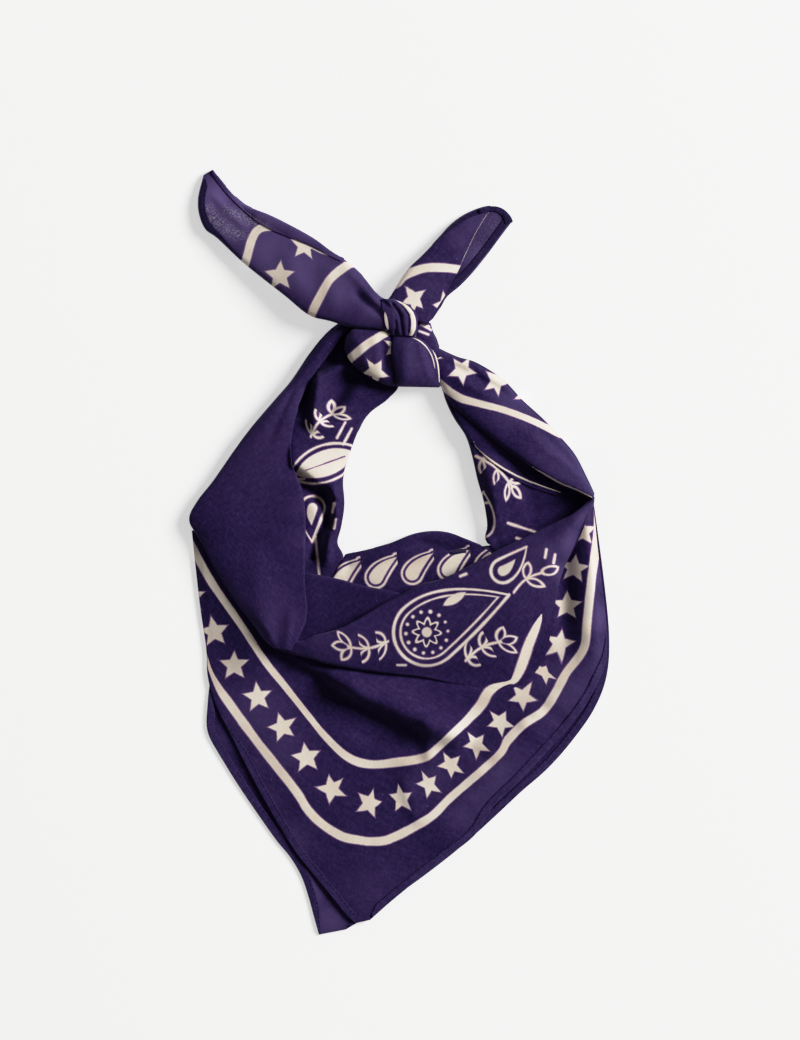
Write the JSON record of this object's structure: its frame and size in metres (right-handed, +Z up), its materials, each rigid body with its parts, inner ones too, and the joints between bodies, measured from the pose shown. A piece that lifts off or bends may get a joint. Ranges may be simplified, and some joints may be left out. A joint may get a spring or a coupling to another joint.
{
  "type": "dog bandana",
  "caption": "Square cotton bandana with a star and stripe border, folded into a triangle, knotted into a neck loop and laid flat.",
  "frame": {"origin": "centre of the bounding box at its lowest height, which is the surface the bandana lies on", "axes": "+Y from the two points towards the knot and tails, +X to the right as seen from above, +Z up from the surface"},
  "size_m": [0.2632, 0.4814, 0.0336],
  "materials": {
    "printed_cotton": "thin plain-weave navy-violet cotton, matt with a soft sheen, printed with a cream star and double-stripe border",
    "hem_cotton": "the same cotton turned under twice and stitched with darker navy thread"
  },
  "bodies": {
    "root": {"back_point": "printed_cotton", "back_hem_left": "hem_cotton", "back_hem_right": "hem_cotton", "front_point": "printed_cotton", "front_hem_left": "hem_cotton", "front_hem_right": "hem_cotton", "inner_left": "printed_cotton", "inner_throat": "printed_cotton", "inner_right": "printed_cotton", "neck_left": "printed_cotton", "neck_right": "printed_cotton", "cowl_tuck": "printed_cotton", "cowl_fold": "printed_cotton", "knot_back": "printed_cotton", "tail_right_under": "printed_cotton", "tail_right_hem": "hem_cotton", "tail_right_over": "printed_cotton", "knot_loop_left": "printed_cotton", "knot_loop_right": "printed_cotton", "tail_left_under": "printed_cotton", "tail_left_hem": "hem_cotton", "tail_left_over": "printed_cotton", "knot_wrap": "printed_cotton"}
  },
  "joints": []
}
